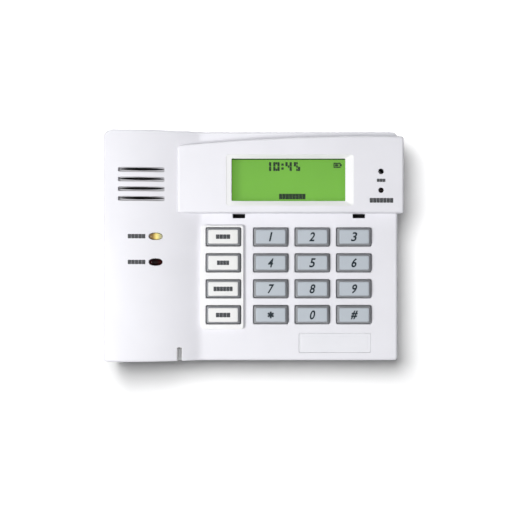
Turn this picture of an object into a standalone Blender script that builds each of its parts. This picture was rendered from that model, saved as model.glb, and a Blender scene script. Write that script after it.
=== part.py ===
"""Wall-mounted alarm keypad with a speaker tower, a backlit display and sixteen keys.

The model is in metres.  The origin is the centre of the flat back, +X is to the right as a
user sees it, +Z is up, and the front faces -Y.  The sizes below are in millimetres, and a
depth is a distance from the wall towards the user, so a point at depth d has y = -d.
"""
import math

import bmesh
import bpy

MM = 0.001
GAP = 0.3                      # clearance between neighbouring pieces

# Housing
LEFT, RIGHT = -79.5, 76.8
HALF_HEIGHT = 61.4
WALL = 2.4
BACK_WALL = 2.0
SEAM_DEPTH = 12.0              # rear case meets front case
PANEL_DEPTH = 22.0             # flat face around the keys
TOWER_DEPTH = 31.0             # crest of the speaker tower
CREST_X, VALLEY_X = -71.0, -29.2
CORNER = 2.0
TONGUE_INSET, TONGUE_TOP = 1.2, 14.2
REBATE_INSET, REBATE_TOP = 0.9, 14.6

# Display
BEZEL_LEFT, BEZEL_RIGHT, BEZEL_BOTTOM = -40.9, 79.5, 17.5
BEZEL_DEPTH = 28.8             # middle of the face, which curves back to both sides
BEZEL_FACE_RADIUS = 1300.0
BEZEL_TOP_RADIUS = 1187.0      # the top edge is a long shallow arc
BEZEL_APEX_X, BEZEL_APEX_Z = 67.2, 58.3
VIEW_X, VIEW_Z = (-12.6, 48.9), (23.8, 47.9)          # the lit area
SIGHT_X, SIGHT_Z = (-12.1, 48.4), (23.8, 46.4)        # the opening in front of it
VIEW_CHAMFER_X, VIEW_CHAMFER_Z = 3.7, 2.0
WINDOW_DEPTH = (24.4, 25.9)

# Keys
ROW_Z = (4.9, -9.0, -22.9, -36.8)
DIGIT_X = (8.7, 31.0, 53.3)
FUNCTION_X = -16.6
OPENING_W, OPENING_H = 19.0, 10.2
DIGIT_NAMES = ("1", "2", "3", "4", "5", "6", "7", "8", "9", "star", "0", "hash")
SURROUND_X, SURROUND_Z = (-28.4, -5.8), (-44.6, 11.2)
SURROUND_DEPTH = 24.0
SURROUND_LIP = 0.5             # the flange overlaps the window in the panel by this much

# Electronics
BOARD_DEPTH = (13.0, 14.6)
SPEAKER_X, SPEAKER_Z, SPEAKER_R = -60.2, 33.0, 15.0
SPEAKER_POST_DZ = 19.3
GRILLE_X = (-73.1, -47.9)
GRILLE_Z = (40.6, 35.5, 30.4, 25.3)
GRILLE_SLOT = 1.9
GRILLE_LIP_HEIGHT, GRILLE_LIP_DEPTH = 2.7, 0.8   # a shallow recess round each slot
STATUS_X, STATUS_Z = -52.1, (5.0, -8.6)
STATUS_W, STATUS_H = 7.2, 3.9
MIC_X, MIC_Z, MESSAGE_Z = 67.3, 39.5, 29.5
SCREW_XZ = ((-66.0, -52.0), (70.0, -52.0), (70.0, 52.0), (-31.0, 52.0))
TAMPER_X, TAMPER_Z = -20.0, 25.0
TERMINAL_X, TERMINAL_Z, TERMINAL_PITCH = (12.0, 38.0), (-3.0, 7.0), 6.2
WIRE_ENTRY_X, WIRE_ENTRY_Z = (10.0, 40.0), (-8.0, 14.0)
KEYHOLE_XZ = ((-45.0, 36.0), (45.0, 36.0))
LOWER_SLOT_XZ = ((-45.0, -40.0), (45.0, -40.0))

# Details of the front
LATCH_SLOT_X = ((-11.8, -5.1), (52.7, 59.4))
LATCH_SLOT_Z = (15.0, 17.3)
HINGE_X, HINGE_Z = (-41.1, -38.7), -54.1
NAMEPLATE_X, NAMEPLATE_Z = (23.8, 62.4), (-57.3, -46.8)
NAMEPLATE_RECESS = 1.0
BEZEL_PEG_XZ = ((-23.0, 47.0), (-23.0, 22.0), (60.0, 49.0), (60.0, 21.5))
BEZEL_PEG_R = 1.2
LABEL_X, LABEL_Z = (-30.0, 30.0), (-34.0, -16.0)   # blank label recess in the back

PARTS = "alarm_keypad_panel"
CUTTERS = "cutters"


# ---------------------------------------------------------------- scene and materials

def start_scene():
    for thing in list(bpy.data.objects):
        bpy.data.objects.remove(thing, do_unlink=True)
    for name in (PARTS, CUTTERS):
        group = bpy.data.collections.new(name)
        bpy.context.scene.collection.children.link(group)


def material(name, color, roughness=0.5, metallic=0.0, alpha=1.0):
    made = bpy.data.materials.new(name)
    made.use_nodes = True
    shader = made.node_tree.nodes["Principled BSDF"]
    shader.inputs["Base Color"].default_value = (*color, 1.0)
    shader.inputs["Roughness"].default_value = roughness
    shader.inputs["Metallic"].default_value = metallic
    shader.inputs["Alpha"].default_value = alpha
    return made


def file_under(thing, group):
    for owner in list(thing.users_collection):
        owner.objects.unlink(thing)
    bpy.data.collections[group].objects.link(thing)
    thing.hide_render = group == CUTTERS
    thing.display_type = "WIRE" if group == CUTTERS else "TEXTURED"


def part(thing, name, look):
    """Files a shape as a finished part."""
    thing.name = name
    thing.data.name = name
    file_under(thing, PARTS)
    thing.data.materials.clear()
    thing.data.materials.append(look)
    return thing


# ---------------------------------------------------------------- basic shapes

def apply_transform(thing):
    thing.data.transform(thing.matrix_basis)
    thing.matrix_basis.identity()


def box(x, z, depth):
    """A block between two values of x, z and depth."""
    bpy.ops.mesh.primitive_cube_add(size=1.0)
    block = bpy.context.active_object
    block.scale = [(hi - lo) * MM for lo, hi in (x, depth, z)]
    block.location = [sum(x) / 2 * MM, -sum(depth) / 2 * MM, sum(z) / 2 * MM]
    apply_transform(block)
    file_under(block, CUTTERS)
    return block


def rod(x, z, radius, depth, sides=20, squash=1.0):
    """A round bar that points at the user, with its height scaled by squash."""
    bpy.ops.mesh.primitive_cylinder_add(vertices=sides, radius=radius * MM,
                                        depth=(depth[1] - depth[0]) * MM,
                                        rotation=(math.pi / 2, 0.0, 0.0))
    bar = bpy.context.active_object
    apply_transform(bar)
    bar.scale = (1.0, 1.0, squash)
    bar.location = (x * MM, -sum(depth) / 2 * MM, z * MM)
    apply_transform(bar)
    bar.data.shade_smooth()
    bar.data.set_sharp_from_angle(angle=math.radians(40))
    file_under(bar, CUTTERS)
    return bar


def extruded(points, thickness):
    """A flat outline in its own XY plane, thickened both ways, as a mesh."""
    curve = bpy.data.curves.new("outline", "CURVE")
    curve.dimensions = "2D"
    curve.fill_mode = "BOTH"
    curve.extrude = thickness / 2 * MM
    spline = curve.splines.new("POLY")
    spline.points.add(len(points) - 1)
    for target, (u, v) in zip(spline.points, points):
        target.co = (u * MM, v * MM, 0.0, 1.0)
    spline.use_cyclic_u = True
    flat = bpy.data.objects.new("outline", curve)
    bpy.context.scene.collection.objects.link(flat)
    bpy.context.view_layer.update()
    evaluated = flat.evaluated_get(bpy.context.evaluated_depsgraph_get())
    mesh = bpy.data.meshes.new_from_object(evaluated)
    bpy.data.objects.remove(flat, do_unlink=True)
    shape = bmesh.new()
    shape.from_mesh(mesh)
    bmesh.ops.remove_doubles(shape, verts=shape.verts, dist=1e-6)
    bmesh.ops.dissolve_limit(shape, angle_limit=math.radians(0.5), verts=shape.verts,
                             edges=shape.edges)
    bmesh.ops.recalc_face_normals(shape, faces=shape.faces)
    shape.to_mesh(mesh)
    shape.free()
    solid = bpy.data.objects.new("outline", mesh)
    bpy.data.collections[CUTTERS].objects.link(solid)
    file_under(solid, CUTTERS)
    return solid


def plate(points, depth):
    """An outline in x and z, as thick as the two depths say."""
    solid = extruded(points, depth[1] - depth[0])
    solid.rotation_euler = (math.pi / 2, 0.0, 0.0)
    solid.location = (0.0, -sum(depth) / 2 * MM, 0.0)
    return solid


def prism(points, z):
    """An outline in x and depth, drawn up from the lower to the upper z."""
    solid = extruded([(x, -depth) for x, depth in points], z[1] - z[0])
    solid.location = (0.0, 0.0, sum(z) / 2 * MM)
    return solid


def turned(x, z, profile, steps=24):
    """A closed profile of radius and depth turned about an axis that points at the user.

    The profile runs down its outer side, and its stretch along the axis is left out.
    """
    mesh = bpy.data.meshes.new("profile")
    points = [(radius * MM, 0.0, depth * MM) for radius, depth in profile]
    loop = [(i, (i + 1) % len(points)) for i in range(len(points))]
    edges = [(i, j) for i, j in loop if points[i][0] > 0.0 or points[j][0] > 0.0]
    mesh.from_pydata(points, edges, [])
    solid = bpy.data.objects.new("turned", mesh)
    solid.rotation_euler = (math.pi / 2, 0.0, 0.0)
    solid.location = (x * MM, 0.0, z * MM)
    screw = solid.modifiers.new("turn", "SCREW")
    screw.axis = "Z"
    screw.steps = steps
    screw.render_steps = steps
    screw.use_merge_vertices = True
    screw.merge_threshold = 0.00001
    screw.use_smooth_shade = True
    bpy.data.collections[CUTTERS].objects.link(solid)
    file_under(solid, CUTTERS)
    return solid


def ring_points(width, height, corner, per_corner=2):
    """Points round a rectangle with round corners, centred on the origin."""
    points = []
    for quarter in range(4):
        cx = (width / 2 - corner) * (1 if quarter in (0, 3) else -1)
        cz = (height / 2 - corner) * (1 if quarter in (0, 1) else -1)
        for step in range(per_corner):
            angle = math.radians(90 * quarter + 90 * step / (per_corner - 1))
            points.append((cx + corner * math.cos(angle), cz + corner * math.sin(angle)))
    return points


def stacked(levels, per_corner=2):
    """A solid through rounded rectangles of (depth, width, height, corner), about x = z = 0."""
    shape = bmesh.new()
    rings = []
    for depth, width, height, corner in levels:
        ring = ring_points(width, height, corner, per_corner)
        rings.append([shape.verts.new((x * MM, -depth * MM, z * MM)) for x, z in ring])
    for low, high in zip(rings, rings[1:]):
        for i in range(len(low)):
            j = (i + 1) % len(low)
            shape.faces.new((low[i], low[j], high[j], high[i]))
    shape.faces.new(rings[0])
    shape.faces.new(rings[-1])
    bmesh.ops.recalc_face_normals(shape, faces=shape.faces)
    mesh = bpy.data.meshes.new("stacked")
    shape.to_mesh(mesh)
    shape.free()
    solid = bpy.data.objects.new("stacked", mesh)
    bpy.data.collections[CUTTERS].objects.link(solid)
    file_under(solid, CUTTERS)
    return solid


def boolean(thing, other, operation):
    step = thing.modifiers.new(operation.lower(), "BOOLEAN")
    step.operation = operation
    step.solver = "EXACT"
    step.object = other


def cut(thing, *cutters):
    for cutter in cutters:
        boolean(thing, cutter, "DIFFERENCE")
    return thing


def join(thing, *others):
    for other in others:
        boolean(thing, other, "UNION")
    return thing


def round_edges(thing, width, segments=2, angle=50.0):
    bevel = thing.modifiers.new("round", "BEVEL")
    bevel.width = width * MM
    bevel.segments = segments
    bevel.limit_method = "ANGLE"
    bevel.angle_limit = math.radians(angle)
    return thing


# ---------------------------------------------------------------- housing outlines

def tower_radius():
    half, drop = VALLEY_X - CREST_X, TOWER_DEPTH - PANEL_DEPTH
    return (half * half + drop * drop) / (2 * drop)


def tower_surface(x, inset=0.0):
    """Depth of the tower's curved face at x, moved inwards by inset."""
    radius = tower_radius() - inset
    return TOWER_DEPTH - tower_radius() + math.sqrt(radius ** 2 - (x - CREST_X) ** 2)


def front_outline(inset, back, steps=14):
    """The front case's section in x and depth, moved inwards by inset."""
    radius = tower_radius() - inset
    centre_depth = TOWER_DEPTH - tower_radius()
    panel = PANEL_DEPTH - inset
    valley = CREST_X + math.sqrt(radius ** 2 - (panel - centre_depth) ** 2)
    left, right = LEFT + inset, RIGHT - inset
    corner = max(3.0 - inset, 0.4)
    start = left + corner
    shoulder = tower_surface(start, inset) - corner
    points = [(left, back)]
    for step in range(3):
        angle = math.radians(180 - 30 * step)
        points.append((start + corner * math.cos(angle), shoulder + corner * math.sin(angle)))
    for step in range(steps + 1):
        x = start + (valley - start) * step / steps
        points.append((x, tower_surface(x, inset)))
    edge = max(CORNER - inset, 0.4)
    for step in range(3):
        angle = math.radians(90 - 45 * step)
        points.append((right - edge + edge * math.cos(angle), panel - edge + edge * math.sin(angle)))
    points.append((right, back))
    return points


def bezel_face(x):
    """Depth of the display surround's curved face at x."""
    middle = (BEZEL_LEFT + BEZEL_RIGHT) / 2
    return BEZEL_DEPTH - (x - middle) ** 2 / (2 * BEZEL_FACE_RADIUS)


def bezel_top(x):
    """Height of the display surround's top edge at x."""
    return BEZEL_APEX_Z - (x - BEZEL_APEX_X) ** 2 / (2 * BEZEL_TOP_RADIUS)


# ---------------------------------------------------------------- housing

def keyhole(x, z, head=4.0, neck=2.1, rise=7.0):
    return (rod(x, z, head, (-1.0, BACK_WALL + 1.0)),
            box((x - neck, x + neck), (z, z + rise), (-1.0, BACK_WALL + 1.0)))


def snap_positions():
    """Middle x, side (+1 top, -1 bottom) and half width of the four snaps."""
    return [(x, side, 4.0) for x in (-45.0, 40.0) for side in (1, -1)]


def snap_block(x, side, half, outer, depth, grow):
    z = sorted((side * (HALF_HEIGHT - TONGUE_INSET - 0.6), side * (HALF_HEIGHT - outer)))
    return box((x - half - grow, x + half + grow), z, (depth[0] - grow, depth[1] + grow))


def make_rear_case(look):
    case = box((LEFT, RIGHT), (-HALF_HEIGHT, HALF_HEIGHT), (0.0, SEAM_DEPTH))
    round_edges(case, CORNER)
    tongue = box((LEFT + TONGUE_INSET, RIGHT - TONGUE_INSET),
                 (-HALF_HEIGHT + TONGUE_INSET, HALF_HEIGHT - TONGUE_INSET),
                 (SEAM_DEPTH - 2.0, TONGUE_TOP))
    cavity = box((LEFT + WALL, RIGHT - WALL), (-HALF_HEIGHT + WALL, HALF_HEIGHT - WALL),
                 (BACK_WALL, TONGUE_TOP + 5.0))
    join(case, tongue)
    cut(case, cavity)
    for x, side, half in snap_positions():
        join(case, snap_block(x, side, half, 0.75, (12.9, 13.7), 0.0))
    ribs = [box((x - 0.75, x + 0.75), (-HALF_HEIGHT + 1.0, -46.0), (1.0, 6.0)) for x in (-20.0, 20.0)]
    ribs += [box((x - 0.75, x + 0.75), (48.0, HALF_HEIGHT - 1.0), (1.0, 6.0)) for x in (-20.0, 20.0)]
    post = rod(TAMPER_X, TAMPER_Z, 2.5, (1.0, 5.0), 14)
    join(case, post, *ribs)
    cut(case, box(WIRE_ENTRY_X, WIRE_ENTRY_Z, (-1.0, BACK_WALL + 1.0)))
    for x, z in KEYHOLE_XZ:
        cut(case, *keyhole(x, z))
    for x, z in LOWER_SLOT_XZ:
        cut(case, box((x - 2.1, x + 2.1), (z - 5.0, z + 5.0), (-1.0, BACK_WALL + 1.0)))
    cut(case, box(LABEL_X, LABEL_Z, (-1.0, 0.4)))
    return part(case, "rear_case", look)


def key_opening(x, z):
    return box((x - OPENING_W / 2, x + OPENING_W / 2), (z - OPENING_H / 2, z + OPENING_H / 2),
               (16.0, 26.0))


def inner_trim(thing):
    """Ends a post or ring inside the thickness of the front wall."""
    boolean(thing, prism(front_outline(1.2, 5.0), (-HALF_HEIGHT + 0.6, HALF_HEIGHT - 0.6)), "INTERSECT")
    return thing


def speaker_wall():
    wall = rod(SPEAKER_X, SPEAKER_Z, SPEAKER_R + 2.0, (20.0, 33.0), 28)
    cut(wall, rod(SPEAKER_X, SPEAKER_Z, SPEAKER_R + 0.7, (19.0, 34.0), 28))
    return inner_trim(wall)


def speaker_posts():
    return [(SPEAKER_X, SPEAKER_Z + side * SPEAKER_POST_DZ) for side in (1, -1)]


def screw_posts(case):
    for x, z in SCREW_XZ:
        join(case, inner_trim(rod(x, z, 2.8, (BOARD_DEPTH[1] + GAP, 33.0), 14)))
    for x, z in speaker_posts():
        join(case, inner_trim(rod(x, z, 2.8, (11.7, 33.0), 14)))
    for x, z in SCREW_XZ:
        cut(case, rod(x, z, 1.1, (14.0, 19.5), 10))
    for x, z in speaker_posts():
        cut(case, rod(x, z, 1.1, (11.0, 17.5), 10))


def grille_lip(z):
    """The shallow recess round a grille slot, whose floor follows the curve of the tower."""
    recess = box(GRILLE_X, (z - GRILLE_LIP_HEIGHT / 2, z + GRILLE_LIP_HEIGHT / 2), (26.0, 33.0))
    floor = prism(front_outline(GRILLE_LIP_DEPTH, 5.0), (z - 5.0, z + 5.0))
    return cut(recess, floor)


def make_front_case(look):
    case = prism(front_outline(0.0, SEAM_DEPTH - 4.0), (-HALF_HEIGHT, HALF_HEIGHT))
    round_edges(case, CORNER)
    trim = box((LEFT - 5.0, RIGHT + 5.0), (-HALF_HEIGHT - 5.0, HALF_HEIGHT + 5.0),
               (2.0, SEAM_DEPTH + GAP))
    cavity = prism(front_outline(WALL, 4.0), (-HALF_HEIGHT + WALL, HALF_HEIGHT - WALL))
    rebate = box((LEFT + REBATE_INSET, RIGHT - REBATE_INSET),
                 (-HALF_HEIGHT + REBATE_INSET, HALF_HEIGHT - REBATE_INSET), (3.0, REBATE_TOP))
    cut(case, trim, cavity, rebate)
    for x, side, half in snap_positions():
        cut(case, snap_block(x, side, half, 0.45, (12.9, 13.7), GAP))
    join(case, speaker_wall())
    screw_posts(case)
    pocket = box((HINGE_X[0] - 1.5, HINGE_X[1] + 1.5), (-HALF_HEIGHT + 1.0, HINGE_Z + 1.5), (16.8, 33.0))
    join(case, inner_trim(pocket))
    cut(case, box(HINGE_X, (-HALF_HEIGHT - 1.0, HINGE_Z), (18.4, 33.0)))
    cut(case, *[key_opening(x, z) for z in ROW_Z for x in DIGIT_X])
    cut(case, box((SURROUND_X[0] + SURROUND_LIP, SURROUND_X[1] - SURROUND_LIP),
                  (SURROUND_Z[0] + SURROUND_LIP, SURROUND_Z[1] - SURROUND_LIP), (16.0, 26.0)))
    cut(case, box((VIEW_X[0] - 4.0, VIEW_X[1] + 4.0), (VIEW_Z[0] - 3.4, VIEW_Z[1] + 5.4), (16.0, 26.0)))
    for z in GRILLE_Z:
        cut(case, grille_lip(z),
            box(GRILLE_X, (z - GRILLE_SLOT / 2, z + GRILLE_SLOT / 2), (21.0, 33.0)))
    for z in STATUS_Z:
        cut(case, rod(STATUS_X, z, STATUS_W / 2, (15.0, 33.0), 20, STATUS_H / STATUS_W))
    cut(case, rod(MIC_X, MIC_Z, 3.4, (16.0, 26.0), 16), rod(MIC_X, MESSAGE_Z, 2.0, (16.0, 26.0), 12))
    for x in LATCH_SLOT_X:
        cut(case, box(x, LATCH_SLOT_Z, (16.0, 26.0)))
    for x, z in BEZEL_PEG_XZ:
        cut(case, rod(x, z, BEZEL_PEG_R + GAP, (16.0, 26.0), 12))
    cut(case, box(NAMEPLATE_X, NAMEPLATE_Z, (PANEL_DEPTH - NAMEPLATE_RECESS, 26.0)))
    return part(case, "front_case", look)


def make_display_bezel(look):
    count = 14
    along = [BEZEL_RIGHT + (BEZEL_LEFT - BEZEL_RIGHT) * i / count for i in range(count + 1)]
    outline = [(BEZEL_LEFT, BEZEL_BOTTOM), (BEZEL_RIGHT, BEZEL_BOTTOM)]
    outline += [(x, bezel_top(x)) for x in along]
    bezel = plate(outline, (PANEL_DEPTH - 6.0, BEZEL_DEPTH + 2.0))
    face = [(x, bezel_face(x)) for x in along]
    face = [(BEZEL_RIGHT + 5.0, face[0][1]), *face, (BEZEL_LEFT - 5.0, face[-1][1])]
    block = prism(face + [(BEZEL_LEFT - 5.0, 5.0), (BEZEL_RIGHT + 5.0, 5.0)],
                  (0.0, HALF_HEIGHT + 5.0))
    boolean(bezel, block, "INTERSECT")
    round_edges(bezel, 0.8)
    body = prism(front_outline(-GAP, 4.0), (-HALF_HEIGHT - 5.0, HALF_HEIGHT + 5.0))
    hollow = box((VALLEY_X + 2.0, 74.0), (BEZEL_BOTTOM + 2.0, 51.5), (4.0, BEZEL_DEPTH - 2.2))
    rim = box((VIEW_X[0] - 5.2, VIEW_X[1] + 5.2), (VIEW_Z[0] - 4.0, VIEW_Z[1] + 4.0),
              (23.0, BEZEL_DEPTH - 1.0))
    cut(bezel, body, hollow)
    pegs = [rod(x, z, BEZEL_PEG_R, (17.8, BEZEL_DEPTH - 1.0), 12) for x, z in BEZEL_PEG_XZ]
    join(bezel, rim, *pegs)
    middle_x, middle_z = sum(SIGHT_X) / 2, sum(SIGHT_Z) / 2
    width, height = SIGHT_X[1] - SIGHT_X[0], SIGHT_Z[1] - SIGHT_Z[0]
    over = 0.6                 # the cutter runs on past the face at the same slope
    growth = 2 * (1 + over / (BEZEL_DEPTH - WINDOW_DEPTH[1]))
    mouth = stacked(((20.0, width, height, 0.6), (WINDOW_DEPTH[1], width, height, 0.6),
                     (BEZEL_DEPTH + over, width + growth * VIEW_CHAMFER_X,
                      height + growth * VIEW_CHAMFER_Z, 1.6)))
    mouth.location = (middle_x * MM, 0.0, middle_z * MM)
    seat = box((VIEW_X[0] - 2.3, VIEW_X[1] + 2.3), (VIEW_Z[0] - 2.3, VIEW_Z[1] + 2.3),
               (4.0, WINDOW_DEPTH[1] + GAP / 2))
    cut(bezel, mouth, seat)
    for z, bore in ((MIC_Z, 1.6), (MESSAGE_Z, 1.5)):
        cut(bezel, rod(MIC_X, z, bore, (20.0, 30.0), 14))
    return part(bezel, "display_bezel", look)


def make_function_key_surround(look):
    middle_x, middle_z = sum(SURROUND_X) / 2, sum(SURROUND_Z) / 2
    width, height = SURROUND_X[1] - SURROUND_X[0], SURROUND_Z[1] - SURROUND_Z[0]
    plug = 2 * (SURROUND_LIP + GAP)
    low, front = PANEL_DEPTH + GAP, SURROUND_DEPTH
    surround = stacked(((19.9, width - plug, height - plug, 1.0),
                        (low, width - plug, height - plug, 1.0),
                        (low, width, height, 1.4), (front - 0.5, width, height, 1.4),
                        (front, width - 0.8, height - 0.8, 1.2)), 3)
    surround.location = (middle_x * MM, 0.0, middle_z * MM)
    cut(surround, *[key_opening(FUNCTION_X, z) for z in ROW_Z])
    return part(surround, "function_key_surround", look)


def make_nameplate(look):
    width = NAMEPLATE_X[1] - NAMEPLATE_X[0] - 2 * GAP
    height = NAMEPLATE_Z[1] - NAMEPLATE_Z[0] - 2 * GAP
    floor = PANEL_DEPTH - NAMEPLATE_RECESS + GAP
    badge = stacked(((floor, width, height, 0.5), (floor + 0.35, width, height, 0.5),
                     (floor + 0.45, width - 0.3, height - 0.3, 0.5)))
    badge.location = (sum(NAMEPLATE_X) / 2 * MM, 0.0, sum(NAMEPLATE_Z) / 2 * MM)
    return part(badge, "nameplate", look)


# ---------------------------------------------------------------- keys

def key_mesh(top):
    """One key: a retaining flange behind the panel and a tapered cap in front of it."""
    flange_w, flange_h, slack = 20.8, 12.0, 0.8
    levels = ((18.2, flange_w, flange_h, 1.0), (19.6, flange_w, flange_h, 1.0),
              (19.6, OPENING_W - slack, OPENING_H - slack, 1.0),
              (top - 2.6, OPENING_W - slack, OPENING_H - slack, 1.0),
              (top - 0.5, 15.8, 7.6, 0.9), (top, 14.9, 6.8, 0.8))
    return stacked(levels)


def make_keys(digit_look, function_look):
    digit_source = key_mesh(25.2)
    function_source = key_mesh(26.4)
    cells = [(x, z) for z in ROW_Z for x in DIGIT_X]
    jobs = [("key_" + name, digit_source, x, z, digit_look) for name, (x, z) in zip(DIGIT_NAMES, cells)]
    jobs += [("function_key_%d" % (i + 1), function_source, FUNCTION_X, z, function_look)
             for i, z in enumerate(ROW_Z)]
    for name, source, x, z, look in jobs:
        key = bpy.data.objects.new(name, source.data.copy())
        key.location = (x * MM, 0.0, z * MM)
        part(key, name, look)
    for source in (digit_source, function_source):
        bpy.data.objects.remove(source, do_unlink=True)


def make_keymat(look):
    """The rubber sheet on the board, with one low dome under each key."""
    floor = BOARD_DEPTH[1] + GAP
    sheet = box((-27.5, 65.5), (-44.5, 12.5), (floor, floor + 0.9))
    for z in ROW_Z:
        for x in (FUNCTION_X,) + DIGIT_X:
            dome = stacked(((floor + 0.5, 9.0, 6.0, 1.6), (16.6, 6.0, 3.6, 1.2)))
            dome.location = (x * MM, 0.0, z * MM)
            join(sheet, dome)
    return part(sheet, "keymat", look)


# ---------------------------------------------------------------- display stack

def around_view(grow_x, grow_z, depth):
    return box((VIEW_X[0] - grow_x, VIEW_X[1] + grow_x), (VIEW_Z[0] - grow_z, VIEW_Z[1] + grow_z), depth)


def make_display(window, metal, glass, light, contact):
    """Window, metal frame, glass, light guide, and the rubber strip that joins glass and board."""
    part(round_edges(around_view(2.0, 2.0, (WINDOW_DEPTH[0], WINDOW_DEPTH[1] - 0.15)), 0.3, 1),
         "display_window", window)
    frame = cut(around_view(3.2, 2.6, (21.5, 22.3)), around_view(0.4, 0.4, (20.0, 24.0)))
    part(frame, "lcd_frame", metal)
    pane = box((VIEW_X[0] - 2.6, VIEW_X[1] + 2.6), (VIEW_Z[0] - 2.0, VIEW_Z[1] + 4.6), (18.7, 21.2))
    part(round_edges(pane, 0.3, 1), "lcd_panel", glass)
    part(round_edges(around_view(2.6, 2.0, (15.2, 18.4)), 0.3, 1), "lcd_backlight", light)
    strip = box((VIEW_X[0] + 2.0, VIEW_X[1] - 2.0), (VIEW_Z[1] + 2.5, VIEW_Z[1] + 4.3), (14.9, 18.4))
    part(round_edges(strip, 0.3, 1), "lcd_contact_strip", contact)


# ---------------------------------------------------------------- electronics

def make_main_board(look):
    """An L-shaped board: its upper left corner is left out for the speaker."""
    left, right, bottom, top = LEFT + 4.5, RIGHT - 4.5, -HALF_HEIGHT + 4.5, HALF_HEIGHT - 4.5
    notch_x, notch_z = -35.0, 7.7
    outline = [(left, bottom), (right, bottom), (right, top), (notch_x, top), (notch_x, notch_z),
               (left, notch_z)]
    board = plate(outline, BOARD_DEPTH)
    for x, z in SCREW_XZ:
        cut(board, rod(x, z, 1.4, (10.0, 17.0), 12))
    return part(board, "main_board", look)


def make_screw(name, x, z, head_depth, shank_depth, look):
    """A pan-head screw with a slot, driven from the back."""
    screw = rod(x, z, 2.2, head_depth, 14)
    join(screw, rod(x, z, 0.8, (head_depth[1] - 0.4, shank_depth), 8))
    cut(screw, box((x - 3.0, x + 3.0), (z - 0.35, z + 0.35),
                   (head_depth[0] - 1.0, head_depth[0] + 0.6)))
    return part(screw, name, look)


def make_board_parts(chip_look, terminal_look, cap_look):
    back = BOARD_DEPTH[0] - GAP
    part(round_edges(box((-4.0, 8.0), (24.0, 36.0), (back - 1.8, back)), 0.3, 1), "microcontroller",
         chip_look)
    part(round_edges(box((18.0, 30.0), (26.0, 34.0), (back - 2.2, back)), 0.3, 1), "voice_chip",
         chip_look)
    part(round_edges(rod(55.0, 20.0, 4.0, (4.5, back), 18), 0.4, 1), "capacitor", cap_look)
    block = box(TERMINAL_X, TERMINAL_Z, (4.6, back))
    for x in terminal_centres():
        cut(block, rod(x, 3.6, 2.3, (3.0, 8.0), 14), box((x - 1.6, x + 1.6), (-4.0, 1.0), (8.4, 11.4)))
    part(block, "terminal_block", terminal_look)


def terminal_centres():
    first = sum(TERMINAL_X) / 2 - 1.5 * TERMINAL_PITCH
    return [first + TERMINAL_PITCH * i for i in range(4)]


def make_terminal_screws(look):
    for i, x in enumerate(terminal_centres()):
        screw = rod(x, 3.6, 1.9, (5.4, 7.6), 12)
        cut(screw, box((x - 3.0, x + 3.0), (3.3, 3.9), (4.0, 6.0)))
        part(screw, "terminal_screw_%d" % (i + 1), look)


def make_tamper_switch(body_look, plunger_look):
    back = BOARD_DEPTH[0] - GAP
    body = box((TAMPER_X - 3.5, TAMPER_X + 3.5), (TAMPER_Z - 3.0, TAMPER_Z + 3.0), (9.0, back))
    cut(body, rod(TAMPER_X, TAMPER_Z, 1.8, (8.0, 11.9), 16))
    part(body, "tamper_switch", body_look)
    plunger = turned(TAMPER_X, TAMPER_Z,
                     ((0.0, 10.3), (1.5, 10.3), (1.5, 6.0), (1.1, 5.4), (0.0, 5.3)), 16)
    part(plunger, "tamper_plunger", plunger_look)


def make_speaker(metal, cone_look, screen_look, gasket_look):
    x, z, radius = SPEAKER_X, SPEAKER_Z, SPEAKER_R
    basket = turned(x, z, ((radius, 21.4), (radius, 20.2), (radius - 2.0, 20.2), (8.6, 15.8),
                           (5.4, 15.8), (5.4, 16.8), (8.2, 16.8), (radius - 2.4, 21.4)))
    part(basket, "speaker_basket", metal)
    part(round_edges(rod(x, z, 7.6, (11.9, 15.5), 24), 0.5, 1), "speaker_magnet", metal)
    cone = turned(x, z, ((radius - 0.8, 22.5), (radius - 0.8, 21.7), (radius - 3.0, 21.7), (4.6, 18.2),
                         (0.0, 19.2), (0.0, 20.0), (4.6, 19.0), (radius - 3.2, 22.5)))
    part(cone, "speaker_cone", cone_look)
    gasket = turned(x, z, ((radius + 0.3, 23.7), (radius + 0.3, 22.8), (radius - 1.6, 22.8),
                           (radius - 1.6, 23.7)))
    part(gasket, "speaker_gasket", gasket_look)
    part(rod(x, z, radius + 0.3, (24.0, 24.3), 28), "speaker_screen", screen_look)
    strap = box((x - 4.0, x + 4.0), (z - SPEAKER_POST_DZ - 3.5, z + SPEAKER_POST_DZ + 3.5), (10.5, 11.4))
    for px, pz in speaker_posts():
        cut(strap, rod(px, pz, 1.4, (9.0, 13.0), 12))
    part(round_edges(strap, 0.2, 1), "speaker_strap", metal)
    for i, (px, pz) in enumerate(speaker_posts()):
        make_screw("speaker_screw_%d" % (i + 1), px, pz, (8.8, 10.2), 16.0, metal)


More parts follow.
